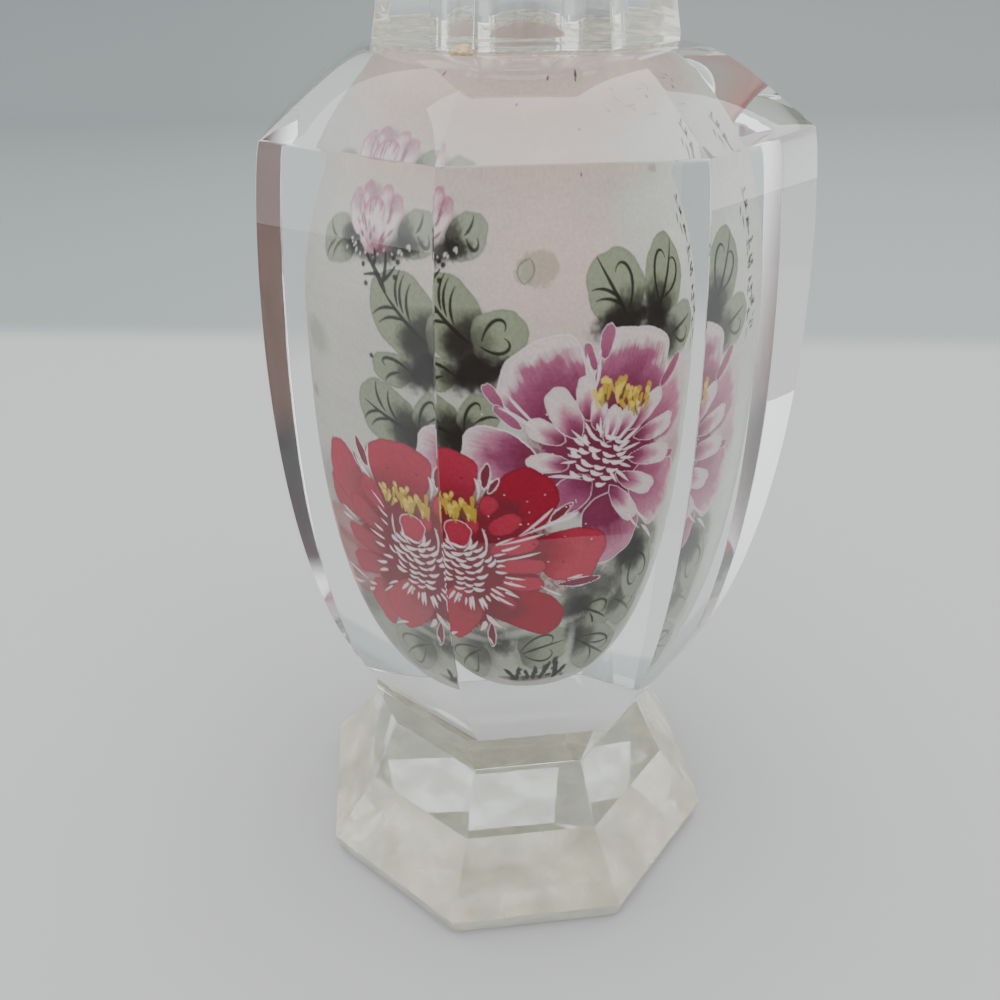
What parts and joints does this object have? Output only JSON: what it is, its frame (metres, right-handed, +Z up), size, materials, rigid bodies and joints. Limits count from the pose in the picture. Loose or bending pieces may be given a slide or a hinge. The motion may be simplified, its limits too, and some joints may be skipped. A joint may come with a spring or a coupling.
{
  "type": "inside-painted glass vase",
  "caption": "Thick faceted clear glass vase with a turned hollow painted inside with peonies, a narrow bored neck and a waisted foot.",
  "frame": {"origin": "on the surface the vase stands on, under the middle of the body", "axes": "+Z up along the vase; -Y faces the front facet, which carries the middle of the painting; +X to the right seen from the front"},
  "size_m": [0.0698, 0.0698, 0.1525],
  "materials": {
    "body_glass": "clear, polished cut facets",
    "foot_glass": "clear with a faint warm haze, polished cut facets",
    "neck_glass": "clear, polished cut facets",
    "painting": "thin paint and milky ground on the wall of the hollow",
    "glue": "dried, slightly yellowed clear glue"
  },
  "bodies": {
    "root": {"body": "body_glass", "foot": "foot_glass", "neck": "neck_glass"}
  },
  "joints": []
}
